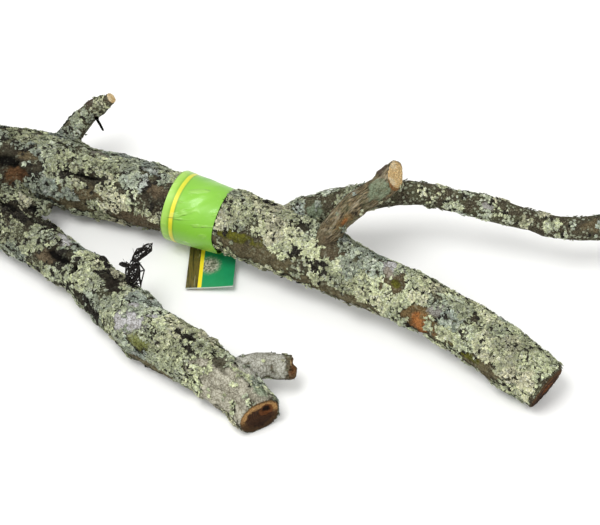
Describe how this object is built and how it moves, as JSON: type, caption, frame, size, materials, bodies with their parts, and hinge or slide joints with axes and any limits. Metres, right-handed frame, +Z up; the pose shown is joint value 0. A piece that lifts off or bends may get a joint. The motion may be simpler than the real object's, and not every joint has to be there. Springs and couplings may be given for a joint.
{
  "type": "fallen tree branch",
  "caption": "Forked, sawn length of fruit-tree branch covered in leafy lichen, lying flat, with side shoots, a dried tuft and a plain card label wrapped round its upper limb.",
  "frame": {"origin": "on the surface that the branch lies on, under the middle of its box", "axes": "+Z up, +X along the limbs from the butt towards their tips, +Y from the lower limb across to the upper limb"},
  "size_m": [0.6458, 0.302, 0.1052],
  "materials": {
    "bark": "rough grey-brown fruit-tree bark under leafy grey-green lichen",
    "twig_bark": "thin dark olive-grey bark with a few lichen patches",
    "dead_wood": "fibrous brown bark and pale sawn wood",
    "tuft": "dry black brittle fibre",
    "lime_card": "lime-green coated card, glossy, lightly creased",
    "green_card": "dark green coated card, glossy"
  },
  "bodies": {
    "root": {"butt": "bark", "upper_limb": "bark", "lower_limb": "bark", "top_stub": "bark", "stub_twig": "twig_bark", "side_twig": "twig_bark", "sawn_spur": "dead_wood", "split_stub": "bark", "dried_tuft": "tuft", "label_band": "lime_card", "label_tag": "green_card"}
  },
  "joints": []
}
